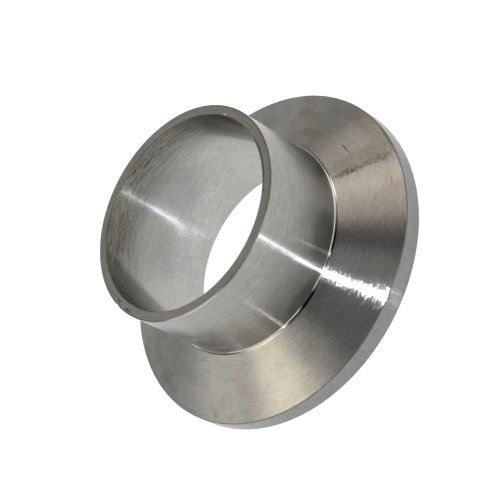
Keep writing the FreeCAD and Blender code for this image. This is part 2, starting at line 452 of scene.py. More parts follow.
@dataclass(frozen=True)
class SteelFinish:
    """One finish of the steel. Sizes are in mm."""

    name: str
    colour: tuple[float, float, float] = (0.45, 0.44, 0.425)
    roughness: float = 0.24
    anisotropy: float = 1.0
    lay_turn: float = 0.25
    comb_length: float = 0.7
    comb_pitch: float = 0.1
    comb_lean: float = 0.0
    lines: tuple[Lines, ...] = ()
    cloud_size: float = 3.0
    cloud_detail: float = 3.0
    cloud_shade: float = 0.05
    cloud_dull: float = 0.01
    warm_tone: tuple[float, float, float] = (1.02, 0.97, 0.93)
    warm_size: float = 4.0
    warm_detail: float = 4.0
    grit_size: float = 0.2
    grit_detail: float = 2.0
    grit_shade: float = 0.0
    grit_depth: float = 0.0
    upright: bool = True
    stains_and_shade: tuple[StainOrShade, ...] = ()
    spots: tuple[Spot, ...] = ()
    wobble_size: float = 0.45
    wobble_detail: float = 3.0
    spot_strokes: Lines = Lines(0.9, 0.22, waver=0.2)
    least_stroke: float = 0.25

    def make(self, effects: SurfaceEffects) -> bpy.types.Material:
        """Builds the material.

        Args:
            effects: the shared node groups.

        Returns:
            The material for one zone.
        """
        material = bpy.data.materials.new(self.name)
        material.use_nodes = True
        wiring = Wiring(material.node_tree)
        coat = self.lay_steel(wiring, effects)
        for stain_or_shade in self.stains_and_shade:
            self.lay_stain_or_shade(coat, wiring, effects, stain_or_shade)
        if self.spots:
            self.lay_spots(coat, wiring, effects)
        shader = material.node_tree.nodes["Principled BSDF"]
        wiring.feed(shader.inputs["Base Color"], coat.colour)
        wiring.feed(shader.inputs["Roughness"], coat.dull)
        shader.inputs["Metallic"].default_value = 1.0
        shader.inputs["Anisotropic"].default_value = self.anisotropy
        shader.inputs["Anisotropic Rotation"].default_value = self.lay_turn
        lay = wiring.add("ShaderNodeTangent", {"direction_type": "RADIAL", "axis": "Z"})
        wiring.feed(shader.inputs["Tangent"], lay.outputs[0])
        bump = wiring.add("ShaderNodeBump", Height=coat.height, Strength=1.0, Distance=MM)
        if self.comb_lean:
            combed = wiring.place_group(
                effects.comb,
                Length=self.comb_length,
                Pitch=self.comb_pitch,
                Lean=self.comb_lean,
            )
            wiring.feed(bump.inputs["Normal"], combed)
        wiring.feed(shader.inputs["Normal"], bump.outputs[0])
        return material

    def lay_steel(self, wiring: Wiring, effects: SurfaceEffects) -> Coat:
        """Lays the clean steel with its clouds, lines, grit and warmer places.

        Args:
            wiring: the material's wiring.
            effects: the shared node groups.

        Returns:
            The coat that the belts and spots go onto.
        """
        clouds = effects.cloud(wiring, self.cloud_size, self.cloud_detail)
        shade = wiring.span(clouds, *CLOUD_RANGE, 1.0 - self.cloud_shade, 1.0 + self.cloud_shade)
        smooth = self.roughness - self.cloud_dull
        rough = self.roughness + self.cloud_dull
        dull = wiring.span(clouds, *CLOUD_RANGE, smooth, rough)
        height: Fed = 0.0
        for lines in self.lines:
            grain = effects.strokes(wiring, lines)
            if lines.shade:
                lit = wiring.span(grain, *LINE_RANGE, 1.0 - lines.shade, 1.0 + lines.shade)
                shade = wiring.math("MULTIPLY", shade, lit)
            if lines.dull:
                dull = wiring.math("ADD", dull, wiring.span(grain, *LINE_RANGE, lines.dull, -lines.dull))
            if lines.depth:
                height = wiring.math("MULTIPLY_ADD", grain, lines.depth, height)
        if self.grit_shade or self.grit_depth:
            grit = effects.cloud(wiring, self.grit_size, self.grit_detail)
            lit = wiring.span(grit, *CLOUD_RANGE, 1.0 - self.grit_shade, 1.0 + self.grit_shade)
            shade = wiring.math("MULTIPLY", shade, lit)
            height = wiring.math("MULTIPLY_ADD", grit, self.grit_depth, height)
        warmth = wiring.span(effects.cloud(wiring, self.warm_size, self.warm_detail), *WARM_RANGE)
        colour = wiring.tint(warmth, wiring.scaled(self.colour, shade), self.warm_tone)
        return Coat(colour, dull, height)

    def lay_stain_or_shade(self, coat: Coat, wiring: Wiring, effects: SurfaceEffects, stain_or_shade: StainOrShade) -> None:
        """Lays one discoloured belt, or belt of painted shade, onto the coat."""
        here = wiring.axis_place()
        level = here.height if self.upright else here.radius
        inside = wiring.span(level, stain_or_shade.start * MM, stain_or_shade.full * MM)
        streaks = effects.strokes(wiring, Lines(stain_or_shade.streak_length, stain_or_shade.streak_pitch, stain_or_shade.streak_waver))
        mask = wiring.math("MULTIPLY", inside, wiring.span(streaks, *STREAK_RANGE, stain_or_shade.least, 1.0))
        coat.colour = wiring.tint(mask, coat.colour, stain_or_shade.tone)
        if stain_or_shade.dull:
            coat.dull = wiring.math("MULTIPLY_ADD", mask, stain_or_shade.dull, coat.dull)

    def lay_spots(self, coat: Coat, wiring: Wiring, effects: SurfaceEffects) -> None:
        """Lays all the spots onto the coat, in their order."""
        wobble = effects.cloud(wiring, self.wobble_size, self.wobble_detail)
        brushing = effects.strokes(wiring, self.spot_strokes)
        strokes = wiring.span(brushing, *STROKE_RANGE, self.least_stroke, 1.0)
        for spot in self.spots:
            mask = wiring.place_group(
                effects.spot,
                spot.name,
                Azimuth=spot.azimuth,
                Place=spot.place,
                Round=spot.round_half,
                Across=spot.across_half,
                Slant=spot.slant,
                Ragged=spot.ragged,
                Upright=1.0 if self.upright else 0.0,
                Wobble=wobble,
            )
            if spot.brushed:
                mask = wiring.math("MULTIPLY", mask, strokes)
            coat.colour = wiring.tint(mask, coat.colour, spot.tone)
            if spot.depth:
                coat.height = wiring.math("MULTIPLY_ADD", mask, -spot.depth, coat.height)


@dataclass(frozen=True)
class Nick:
    """A small dip that a knock left in an edge: its place, its reach round the edge and its depth, in mm."""

    azimuth: float
    radius: float
    height: float
    reach: float
    depth: float


@dataclass
class FerruleBody:
    """The turned ferrule: its section, spun round the axis. All sizes are in mm and angles in degrees."""

    bore_radius: float
    stub_radius: float
    flange_radius: float
    height: float
    rim_thickness: float = 2.85
    back_slope: float = 23.0
    root_fillet: float = 0.5
    stub_outer_break: float = 0.2
    inner_break: float = 0.1
    rim_back_break: float = 0.12
    rim_face_break: float = 0.2
    groove_centre: float = 21.75
    groove_radius: float = 2.35
    groove_depth: float = 1.6
    groove_lip: float = 0.15
    groove_steps: int = 28
    steps: int = 432
    row: float = 0.42
    weld: float = 0.001
    sharp_angle: float = 14.0
    # The zones' ends: what counts as touching, the broken edge's depth, and the root's two ends
    hair: float = 0.01
    slack: float = 0.05
    edge_zone: float = 0.25
    root_top: float = 4.4
    root_reach: float = 0.276
    # How far the edges wander, how deep the wander goes in, and the waves of it in each mm
    lip_wave: float = 0.03
    edge_wave: float = 0.018
    wander_depth: float = 0.5
    rim_wander_depth: float = 0.4
    rim_share: float = 0.35
    slow_waves: float = 0.35
    quick_waves: tuple[float, float, float] = (2.2, 2.2, 0.5)
    rim_waves: float = 1.3
    # How far below its own height a nick is knocked toward
    knock_drop: float = 1.0
    nicks: tuple[Nick, ...] = ()
    finishes: dict[Zone, SteelFinish] = field(default_factory=dict)

    @property
    def wall_radius(self) -> float:
        """The radius of the middle of the stub's wall."""
        return 0.5 * (self.bore_radius + self.stub_radius)

    def section(self) -> bmesh.types.BMesh:
        """The half section as a closed wire in the XZ plane.

        Returns:
            A bmesh with the wire, its corners broken and its long runs divided into rows.
        """
        bm = bmesh.new()
        below = self.groove_radius - self.groove_depth
        lip_half = math.sqrt(self.groove_radius**2 - (below + self.groove_lip) ** 2)
        rise = math.tan(math.radians(self.back_slope)) * (self.flange_radius - self.stub_radius)
        inner_lip = self.groove_centre - lip_half
        outer_lip = self.groove_centre + lip_half
        corners = {
            "bore_foot": (self.bore_radius, 0.0),
            "stub_inner": (self.bore_radius, self.height),
            "stub_outer": (self.stub_radius, self.height),
            "root": (self.stub_radius, self.rim_thickness + rise),
            "rim_back": (self.flange_radius, self.rim_thickness),
            "rim_face": (self.flange_radius, 0.0),
            "outer_land": (outer_lip + self.groove_lip, 0.0),
            "groove_end": (outer_lip, self.groove_lip),
            "groove_start": (inner_lip, self.groove_lip),
            "inner_land": (inner_lip - self.groove_lip, 0.0),
        }
        made = {name: bm.verts.new((x, 0.0, z)) for name, (x, z) in corners.items()}
        order = list(made.values())
        for first, second in zip(order, order[1:] + order[:1]):
            if first is not made["groove_end"]:
                bm.edges.new((first, second))
        bmesh.ops.spin(
            bm,
            geom=[made["groove_end"]],
            axis=(0.0, 1.0, 0.0),
            cent=Vector((self.groove_centre, 0.0, self.groove_depth - self.groove_radius)),
            angle=-2.0 * math.asin(lip_half / self.groove_radius),
            steps=self.groove_steps,
            use_merge=False,
        )
        bmesh.ops.remove_doubles(bm, verts=bm.verts[:], dist=self.weld)
        half_turn = math.radians(90.0 - self.back_slope) / 2.0
        breaks = {
            "bore_foot": (self.inner_break, 2),
            "stub_inner": (self.inner_break, 2),
            "stub_outer": (self.stub_outer_break, 3),
            "root": (self.root_fillet * math.tan(half_turn), 12),
            "rim_back": (self.rim_back_break, 2),
            "rim_face": (self.rim_face_break, 3),
        }
        for name, (offset, segments) in breaks.items():
            bmesh.ops.bevel(
                bm,
                geom=[self.vertex_at(bm, corners[name])],
                affect="VERTICES",
                offset=offset,
                offset_type="OFFSET",
                segments=segments,
                profile=0.5,
                material=-1,
                clamp_overlap=False,
            )
        for edge in [edge for edge in bm.edges if edge.calc_length() > 1.5 * self.row]:
            bmesh.ops.subdivide_edges(bm, edges=[edge], cuts=round(edge.calc_length() / self.row))
        return bm

    @staticmethod
    def vertex_at(bm: bmesh.types.BMesh, place: tuple[float, float]) -> bmesh.types.BMVert:
        """The section's vertex at a radius and height."""
        spot = Vector((place[0], 0.0, place[1]))
        return min(bm.verts, key=lambda vertex: (vertex.co - spot).length)

    def zone_at(self, face: bmesh.types.BMFace) -> Zone:
        """The zone that a face of the spun body belongs to."""
        middle = face.calc_center_median()
        radius = math.hypot(middle.x, middle.y)
        back_width = self.flange_radius - self.stub_radius - self.root_reach
        root_low = self.rim_thickness + back_width * math.tan(math.radians(self.back_slope))
        if middle.z > self.height - self.hair:
            return Zone.LIP
        if radius < self.bore_radius + self.hair:
            return Zone.BORE
        if radius < self.stub_radius - self.hair and middle.z > self.height - self.edge_zone:
            return Zone.EDGE
        if middle.z < self.groove_depth + self.slack and radius < self.flange_radius - self.rim_face_break:
            return Zone.FACE
        if middle.z > self.rim_thickness + self.root_top:
            return Zone.STUB
        if middle.z > root_low:
            return Zone.ROOT
        if middle.z > self.rim_thickness + 0.5 * self.rim_back_break:
            return Zone.BACK
        if radius > self.flange_radius - 0.5 * self.hair:
            return Zone.RIM
        return Zone.EDGE

    def roughen(self, bm: bmesh.types.BMesh) -> None:
        """Lets the edges wander a little, always into the steel."""
        for vertex in bm.verts:
            radius = math.hypot(vertex.co.x, vertex.co.y)
            outward = Vector((vertex.co.x / radius, vertex.co.y / radius, 0.0))
            depth_in = self.height - vertex.co.z
            if depth_in < self.wander_depth:
                near = 1.0 - depth_in / self.wander_depth
                slow = 0.5 + 0.5 * noise.noise(vertex.co * self.slow_waves)
                quick = noise.noise(vertex.co * Vector(self.quick_waves))
                inward = -1.0 if radius > self.wall_radius else 1.0
                vertex.co.z -= self.lip_wave * near * slow
                vertex.co += outward * (inward * self.edge_wave * near * abs(quick))
            elif radius > self.flange_radius - self.rim_wander_depth:
                quick = noise.noise(vertex.co * self.rim_waves)
                vertex.co -= outward * (self.rim_share * self.edge_wave * abs(quick))

    def knock(self, bm: bmesh.types.BMesh, nick: Nick) -> None:
        """Knocks one nick into an edge, toward the steel below it."""
        turn = math.radians(nick.azimuth)
        spot = Vector((nick.radius * math.cos(turn), nick.radius * math.sin(turn), nick.height))
        wall = self.wall_radius
        steel = Vector((wall * math.cos(turn), wall * math.sin(turn), nick.height - self.knock_drop))
        for vertex in bm.verts:
            gap = (vertex.co - spot).length
            if gap < nick.reach:
                fall = (1.0 - (gap / nick.reach) ** 2) ** 2
                vertex.co += (steel - vertex.co).normalized() * (nick.depth * fall)

    def build(self, effects: SurfaceEffects) -> bpy.types.Object:
        """Spins the section and dresses its zones.

        Args:
            effects: the shared node groups.

        Returns:
            The finished piece.
        """
        bm = self.section()
        bmesh.ops.spin(
            bm,
            geom=bm.verts[:] + bm.edges[:],
            axis=(0.0, 0.0, 1.0),
            cent=(0.0, 0.0, 0.0),
            angle=math.tau,
            steps=self.steps,
            use_merge=True,
        )
        bmesh.ops.remove_doubles(bm, verts=bm.verts[:], dist=self.weld)
        bmesh.ops.recalc_face_normals(bm, faces=bm.faces[:])
        for face in bm.faces:
            face.smooth = True
            face.material_index = self.zone_at(face).value
        for edge in bm.edges:
            edge.smooth = edge.calc_face_angle(0.0) < math.radians(self.sharp_angle)
        self.roughen(bm)
        for nick in self.nicks:
            self.knock(bm, nick)
        bmesh.ops.scale(bm, vec=(MM, MM, MM), verts=bm.verts[:])
        return make_object("ferrule_body", bm, [self.finishes[zone].make(effects) for zone in Zone])


@dataclass(frozen=True)
class PhotoCamera:
    """The photograph's camera: where it aims, from how far and at what angle, in mm and degrees.

    What it sees starts and ends at near and far, in metres.
    """

    aim: tuple[float, float, float] = (-0.32, 0.0, 6.02)
    distance: float = 240.18
    look_down: float = 42.62
    roll: float = -62.27
    lens: float = 120.55
    sensor: float = 36.0
    near: float = 0.01
    far: float = 20.0

    def build(self) -> bpy.types.Object:
        """Makes the camera and gives it to the scene.

        Returns:
            The camera object.
        """
        data = bpy.data.cameras.new("photo_camera")
        data.lens = self.lens
        data.sensor_width = self.sensor
        data.clip_start = self.near
        data.clip_end = self.far
        camera = bpy.data.objects.new("photo_camera", data)
        tilt = Matrix.Rotation(math.radians(90.0 - self.look_down), 4, "X")
        turn = tilt @ Matrix.Rotation(math.radians(self.roll), 4, "Z")
        back = turn.to_3x3() @ Vector((0.0, 0.0, 1.0))
        place = (Vector(self.aim) + back * self.distance) * MM
        camera.matrix_world = Matrix.Translation(place) @ turn
        bpy.context.scene.collection.objects.link(camera)
        bpy.context.scene.camera = camera
        return camera


@dataclass(frozen=True)
class SoftWindow:
    """One soft-edged window of the light tent, placed as the ferrule sees it. All angles are in degrees."""

    name: str
    azimuth: float
    half_width: float
    side_softness: float
    low: float
    high: float
    edge_softness: float
    tone: tuple[float, float, float]


# What the steel mirrors, direction by direction
TENT_WINDOWS = (
    SoftWindow("left window, lower part", 190.0, 18.0, 16.0, 6.0, 46.0, 20.0, (1.0, 0.95, 0.8)),
    SoftWindow("left window, upper part", 176.0, 20.0, 20.0, 42.0, 62.0, 16.0, (1.95, 1.85, 1.52)),
    SoftWindow("left window, top", 164.0, 28.0, 20.0, 62.0, 76.0, 12.0, (0.5, 0.49, 0.45)),
    SoftWindow("beside the left window", 210.0, 8.0, 8.0, 0.0, 42.0, 16.0, (0.5, 0.48, 0.42)),
    SoftWindow("back left window", 140.0, 16.0, 18.0, 28.0, 66.0, 20.0, (0.73, 0.715, 0.665)),
    SoftWindow("low white strip", 221.0, 1.0, 1.0, -20.0, 30.0, 14.0, (6.8, 6.6, 6.1)),
    SoftWindow("right window, low", 350.0, 16.0, 12.0, -20.0, 30.0, 24.0, (0.5, 0.46, 0.38)),
    SoftWindow("right window, bright pane", 8.0, 8.0, 6.0, 26.0, 44.0, 10.0, (1.9, 1.7, 1.4)),
    SoftWindow("right window, high", 16.0, 14.0, 12.0, 42.0, 66.0, 14.0, (0.86, 0.77, 0.66)),
    SoftWindow("back right window", 36.0, 11.0, 14.0, 26.0, 60.0, 16.0, (0.7, 0.64, 0.555)),
    SoftWindow("back right wall", 58.0, 12.0, 14.0, 4.0, 60.0, 20.0, (0.34, 0.33, 0.31)),
    SoftWindow("back wall", 104.0, 36.0, 30.0, 4.0, 62.0, 20.0, (0.38, 0.38, 0.37)),
    SoftWindow("roof", 0.0, 190.0, 10.0, 70.0, 100.0, 14.0, (0.175, 0.17, 0.17)),
    SoftWindow("right side of the roof", 18.0, 50.0, 30.0, 73.0, 87.0, 6.0, (0.15, 0.15, 0.145)),
    SoftWindow("glow beside the lamp", 295.0, 7.0, 6.0, 44.0, 80.0, 12.0, (1.15, 1.28, 1.4)),
    SoftWindow("low beige strip", 297.5, 1.0, 1.0, -20.0, 34.0, 14.0, (3.6, 3.25, 2.6)),
)


@dataclass(frozen=True)
class LampPiece:
    """One stretch of the narrow lamp, between two heights over the floor in degrees."""

    name: str
    low: float
    high: float
    strength: float


LAMP_PIECES = (
    LampPiece("lamp_foot", 0.0, 30.0, 66.0),
    LampPiece("lamp_middle", 30.0, 68.0, 45.0),
    LampPiece("lamp_top", 68.0, 86.0, 30.0),
)


@dataclass(frozen=True)
class LowStrip:
    """A thin glowing strip that lies on the floor and grows wider toward its end. Sizes are in mm."""

    name: str
    start: tuple[float, float]
    end: tuple[float, float]
    start_width: float
    end_width: float
    strength: float


# Upright walls seen from above mirror the floor, so these three carry the lamp's streak on down them
LOW_STRIPS = (
    LowStrip("strip_before_flange", (4.5, -28.0), (13.6, -58.5), 0.35, 1.4, 8.0),
    LowStrip("strip_in_bore", (0.15, 7.2), (3.9, -13.2), 0.12, 0.6, 6.0),
    LowStrip("strip_in_bore_end", (-1.4, 12.9), (0.15, 7.2), 0.03, 0.12, 2.4),
)


@dataclass(frozen=True)
class LightTent:
    """A round tent of soft windows, with one narrow lamp bent over the ferrule and low strips.

    Sizes are in metres and angles in degrees. The lamp's offset is a share of its radius.
    """

    radius: float = 1.0
    windows: tuple[SoftWindow, ...] = TENT_WINDOWS
    dim: float = 0.04
    sides: int = 72
    rings: int = 36
    lamp_radius: float = 0.9
    lamp_azimuth: float = 276.1
    lamp_offset: float = 0.0782
    lamp_half_width: float = 0.5
    lamp_steps: int = 20
    lamp_tone: tuple[float, float, float] = (0.93, 1.0, 1.05)
    lamp_pieces: tuple[LampPiece, ...] = LAMP_PIECES
    low_strips: tuple[LowStrip, ...] = LOW_STRIPS
    strip_height: float = 0.00002

    @staticmethod
    def window_group() -> bpy.types.NodeTree:
        """A group that masks one soft window out of the tent.

        Returns:
            A group with the window's place and size in degrees, and its mask.
        """
        inputs = {"Azimuth": 0.0, "Half Width": 10.0, "Side": 5.0, "Low": 0.0, "High": 45.0, "Edge": 5.0}
        wiring = GroupWiring("soft window", inputs, "Mask")
        given = wiring.given
        place = wiring.add("ShaderNodeTexCoord").outputs["Object"]
        away = wiring.vector("NORMALIZE", place).outputs["Vector"]
        apart = wiring.add("ShaderNodeSeparateXYZ", Vector=away).outputs
        azimuth = wiring.math("DEGREES", wiring.math("ARCTAN2", apart["Y"], apart["X"]))
        height = wiring.math("DEGREES", wiring.math("ARCSINE", apart["Z"]))
        turn = wiring.math("SUBTRACT", azimuth, given["Azimuth"])
        off = wiring.math("ABSOLUTE", wiring.math("WRAP", turn, 180.0, -180.0))
        half_side = wiring.math("MULTIPLY", given["Side"], 0.5)
        half_edge = wiring.math("MULTIPLY", given["Edge"], 0.5)
        inner = wiring.math("SUBTRACT", given["Half Width"], half_side)
        outer = wiring.math("ADD", given["Half Width"], half_side)
        across = wiring.span(off, inner, outer, 1.0, 0.0)
        above = wiring.span(
            height,
            wiring.math("SUBTRACT", given["Low"], half_edge),
            wiring.math("ADD", given["Low"], half_edge),
        )
        below = wiring.span(
            height,
            wiring.math("SUBTRACT", given["High"], half_edge),
            wiring.math("ADD", given["High"], half_edge),
            1.0,
            0.0,
        )
        return wiring.finish(wiring.math("MULTIPLY", across, wiring.math("MULTIPLY", above, below)))

    def tent_material(self) -> bpy.types.Material:
        """The tent's glow: a dim ground with the windows in it."""
        material = bare_material("light tent")
        wiring = Wiring(material.node_tree)
        group = self.window_group()
        glow: Fed = (self.dim, self.dim, self.dim)
        for window in self.windows:
            mask = wiring.place_group(
                group,
                window.name,
                Azimuth=window.azimuth,
                Half_Width=window.half_width,
                Side=window.side_softness,
                Low=window.low,
                High=window.high,
                Edge=window.edge_softness,
            )
            glow = wiring.vector("MULTIPLY_ADD", window.tone, mask, glow).outputs[0]
        light = wiring.add("ShaderNodeEmission", Color=glow, Strength=1.0)
        wiring.add("ShaderNodeOutputMaterial", Surface=light.outputs[0])
        return material

    def lamp_material(self, name: str, strength: float) -> bpy.types.Material:
        """The even glow of one piece of the lamp or one strip."""
        material = bare_material(name)
        wiring = Wiring(material.node_tree)
        light = wiring.add("ShaderNodeEmission", Color=(*self.lamp_tone, 1.0), Strength=strength)
        wiring.add("ShaderNodeOutputMaterial", Surface=light.outputs[0])
        return material

    @staticmethod
    def place(name: str, bm: bmesh.types.BMesh, material: bpy.types.Material) -> bpy.types.Object:
        """Makes a part of the tent, which lights the ferrule and isn't seen by the camera."""
        made = make_object(name, bm, [material])
        made.visible_camera = False
        return made

    def tent(self) -> bpy.types.Object:
        """A half ball that stands on the floor."""
        bm = bmesh.new()
        bmesh.ops.create_uvsphere(bm, u_segments=self.sides, v_segments=self.rings, radius=self.radius)
        geometry = bm.verts[:] + bm.edges[:] + bm.faces[:]
        bmesh.ops.bisect_plane(bm, geom=geometry, plane_no=(0.0, 0.0, -1.0), clear_outer=True)
        bmesh.ops.reverse_faces(bm, faces=bm.faces[:])
        return self.place("card_tent", bm, self.tent_material())

    def lamp(self, piece: LampPiece) -> bpy.types.Object:
        """One piece of a narrow ribbon that is bent over the ferrule.

        Args:
            piece: the stretch of the ribbon to make.

        Returns:
            The lamp, which isn't part of the object.
        """
        turn = math.radians(self.lamp_azimuth)
        forward = Vector((math.cos(turn), math.sin(turn), 0.0))
        side = Vector((-math.sin(turn), math.cos(turn), 0.0))
        start = math.radians(piece.low)
        upward = forward * math.cos(start) + Vector((0.0, 0.0, math.sin(start)))
        centre = side * (self.lamp_offset * self.lamp_radius)
        arc_radius = self.lamp_radius * math.sqrt(1.0 - self.lamp_offset**2)
        half = side * (self.lamp_radius * math.radians(self.lamp_half_width))
        bm = bmesh.new()
        ends = [bm.verts.new(centre + upward * arc_radius + shift) for shift in (half, -half)]
        edge = bm.edges.new(ends)
        bmesh.ops.spin(
            bm,
            geom=[*ends, edge],
            axis=-side,
            cent=centre,
            angle=math.radians(piece.high - piece.low),
            steps=self.lamp_steps,
            use_merge=False,
        )
        return self.place(piece.name, bm, self.lamp_material(piece.name, piece.strength))

    def strip(self, strip: LowStrip) -> bpy.types.Object:
        """One strip on the floor.

        Args:
            strip: its ends, widths and strength.

        Returns:
            The strip, which isn't part of the object.
        """
        start = Vector((*strip.start, 0.0)) * MM
        end = Vector((*strip.end, 0.0)) * MM
        ahead = (end - start).normalized()
        side = Vector((-ahead.y, ahead.x, 0.0)) * (0.5 * MM)
        lift = Vector((0.0, 0.0, self.strip_height))
        corners = (
            start - side * strip.start_width,
            end - side * strip.end_width,
            end + side * strip.end_width,
            start + side * strip.start_width,
        )
        bm = bmesh.new()
        bmesh.ops.contextual_create(bm, geom=[bm.verts.new(corner + lift) for corner in corners])
        return self.place(strip.name, bm, self.lamp_material(strip.name, strip.strength))

    def build(self) -> None:
        """Puts up the tent, its lamp and the strips on the floor."""
        self.tent()
        for piece in self.lamp_pieces:
            self.lamp(piece)
        for strip in self.low_strips:
            self.strip(strip)


@dataclass(frozen=True)
class Studio:
    """The floor and the white background. Sizes are in metres."""

    floor_half: float = 3.0
    floor_gap: float = 0.00001
    floor_tone: float = 0.37
    floor_glow: float = 0.885

    def floor(self) -> bpy.types.Object:
        """A wide floor that keeps the ferrule's shadow, and looks white without lighting the ferrule.

        Returns:
            The floor, which isn't part of the object.
        """
        bm = bmesh.new()
        bmesh.ops.create_grid(bm, x_segments=1, y_segments=1, size=self.floor_half)
        bmesh.ops.translate(bm, vec=(0.0, 0.0, -self.floor_gap), verts=bm.verts[:])
        material = bare_material("white floor")
        wiring = Wiring(material.node_tree)
        rays = wiring.add("ShaderNodeLightPath").outputs
        seen = wiring.math("MAXIMUM", rays["Is Camera Ray"], rays["Is Glossy Ray"])
        seen = wiring.math("MAXIMUM", seen, rays["Is Transmission Ray"])
        tone = self.floor_tone
        matt = wiring.add("ShaderNodeBsdfDiffuse", Color=(tone, tone, tone, 1.0))
        strength = wiring.math("MULTIPLY", seen, self.floor_glow)
        glow = wiring.add("ShaderNodeEmission", Color=(1.0, 1.0, 1.0, 1.0), Strength=strength)
        both = wiring.add("ShaderNodeAddShader")
        wiring.feed(both.inputs[0], matt.outputs[0])
        wiring.feed(both.inputs[1], glow.outputs[0])
        wiring.add("ShaderNodeOutputMaterial", Surface=both.outputs[0])
        floor = make_object("floor", bm, [material])
        return floor

    @staticmethod
    def world() -> None:
        """A white background; the tent keeps its light off the ferrule."""
        world = bpy.data.worlds.new("studio")
        bpy.context.scene.world = world
        world.use_nodes = True
        world.node_tree.nodes.clear()
        wiring = Wiring(world.node_tree)
        white = wiring.add("ShaderNodeBackground", Color=(1.0, 1.0, 1.0, 1.0), Strength=1.0)
        wiring.add("ShaderNodeOutputWorld", Surface=white.outputs[0])

    def build(self) -> None:
        """Sets up the whole studio."""
        self.floor()
        self.world()
        LightTent().build()


# The marks on each zone, some of them painted shade, painted dark reflections or painted glints: azimuth in
# degrees, then height or radius, half sizes round and across, and tone
STUB_SPOTS = (
    # A lighter patch low on the left of the stub
    Spot("lighter patch low on the stub", 222.0, 10.0, 5.0, 4.0, (1.2, 1.17, 1.12), ragged=0.7),
    # Painted shade: at the end of the wall, over the lamp's streak, and over the root on each side of it
    Spot("painted shade at the end of the wall", 194.0, 17.0, 3.6, 5.0, (0.7, 0.7, 0.7), ragged=0.6, brushed=False),
    Spot("painted shade on the stub", 275.0, 12.0, 8.0, 6.0, (0.88, 0.88, 0.88), ragged=0.6, brushed=False),
    Spot("right painted shade over the root", 292.5, 8.6, 3.6, 2.8, (0.6, 0.6, 0.6), ragged=0.5, brushed=False),
    Spot("left painted shade over the root", 259.0, 7.4, 3.7, 1.9, (0.6, 0.6, 0.59), ragged=0.5, brushed=False),
    # A band of painted light over the root, and its foot
    Spot("painted light band over the root", 200.0, 9.4, 5.6, 4.2, (1.5, 1.53, 1.57), ragged=0.2, brushed=False),
    Spot("foot of the painted light band", 203.0, 7.9, 4.6, 2.2, (1.55, 1.6, 1.64), ragged=0.3, brushed=False),
)
ROOT_SPOTS = (
    # All painted in the fillet: painted shade on each side, a painted glint, and painted dark reflections as
    # lines
    Spot("left painted shade in the root", 195.0, 6.8, 3.6, 1.2, (0.42, 0.42, 0.41), ragged=0.4, brushed=False),
    Spot("right painted shade in the root", 349.0, 6.8, 4.6, 1.2, (0.45, 0.45, 0.44), ragged=0.4, brushed=False),
    Spot("painted glint in the root", 321.0, 6.8, 3.2, 1.2, (1.3, 1.4, 1.55), ragged=0.4, brushed=False),
    Spot("left painted dark reflection in the root", 260.5, 6.8, 1.9, 0.85, (0.08, 0.08, 0.08), ragged=0.3, brushed=False),
    Spot("middle painted dark reflection in the root", 281.8, 6.7, 0.9, 0.6, (0.35, 0.35, 0.35), ragged=0.4, brushed=False),
    Spot("right painted dark reflection in the root", 292.0, 6.6, 2.2, 0.3, (0.05, 0.05, 0.05), ragged=0.4, brushed=False),
)
BACK_SPOTS = (
    Spot(
        "nick",
        340.3,
        19.8,
        1.1,
        0.09,
        (0.34, 0.3, 0.26),
        slant=0.04,
        ragged=0.6,
        depth=0.01,
        brushed=False,
    ),
    Spot("tail of the nick", 336.5, 19.9, 0.8, 0.08, (0.7, 0.66, 0.6), slant=0.05, ragged=1.0),
    # A dark, blotched radial line across the cone with two knots, and painted shade beside it
    Spot("blotched radial line, inner half", 327.6, 18.2, 0.6, 2.0, (0.5, 0.47, 0.43), ragged=1.5),
    Spot("blotched radial line, outer half", 327.5, 22.6, 0.65, 2.9, (0.6, 0.57, 0.53), ragged=1.8),
    Spot("inner knot in the radial line", 327.4, 19.6, 0.8, 0.5, (0.66, 0.63, 0.58), ragged=2.0),
    Spot("outer knot in the radial line", 327.0, 23.4, 1.1, 0.5, (0.75, 0.72, 0.67), ragged=2.0),
    Spot("painted shade beside the radial line", 331.0, 20.8, 1.9, 4.8, (0.84, 0.83, 0.81), ragged=0.9, brushed=False),
    Spot("brown haze by the rim", 346.0, 24.0, 5.0, 1.3, (0.84, 0.79, 0.74), ragged=1.2),
    Spot("first dark fleck", 318.0, 23.6, 1.1, 0.2, (0.72, 0.68, 0.63), ragged=2.0),
    Spot("second dark fleck", 311.0, 21.2, 0.7, 0.18, (0.8, 0.77, 0.73), ragged=2.0),
    Spot("brown edge line", 336.0, 25.0, 4.4, 0.13, (0.5, 0.43, 0.36), ragged=0.5),
    Spot("first brown patch", 161.0, 22.2, 3.4, 1.1, (0.86, 0.8, 0.78), ragged=1.8),
    Spot("second brown patch", 168.0, 23.7, 2.4, 0.6, (0.86, 0.81, 0.79), ragged=1.8),
    Spot("first pink patch", 211.0, 20.6, 1.1, 1.8, (1.05, 0.95, 0.93), ragged=1.8),
    Spot("second pink patch", 216.0, 23.4, 1.2, 1.5, (1.05, 0.95, 0.94), ragged=1.8),
    Spot("first faint smear", 187.6, 17.4, 0.9, 0.2, (0.84, 0.83, 0.8), slant=0.3, ragged=2.4),
    Spot("second faint smear", 190.0, 18.7, 1.1, 0.2, (0.82, 0.81, 0.78), slant=-0.1, ragged=2.4),
    Spot("third faint smear", 204.5, 19.5, 0.9, 0.3, (0.78, 0.76, 0.71), slant=0.2, ragged=2.4),
    Spot("first smudge by the rim", 195.8, 24.1, 0.45, 0.9, (0.78, 0.77, 0.74), ragged=2.2),
    Spot("second smudge by the rim", 203.5, 24.3, 0.9, 0.5, (0.84, 0.82, 0.77), ragged=2.4),
    Spot("dark line by the rim", 186.0, 24.7, 3.4, 0.16, (0.66, 0.65, 0.62), ragged=0.9),
    Spot("first smudge far up", 12.0, 21.5, 2.4, 1.2, (0.82, 0.78, 0.75), ragged=2.0),
    Spot("second smudge far up", 2.0, 18.6, 2.0, 0.8, (0.84, 0.81, 0.78), ragged=2.0),
)
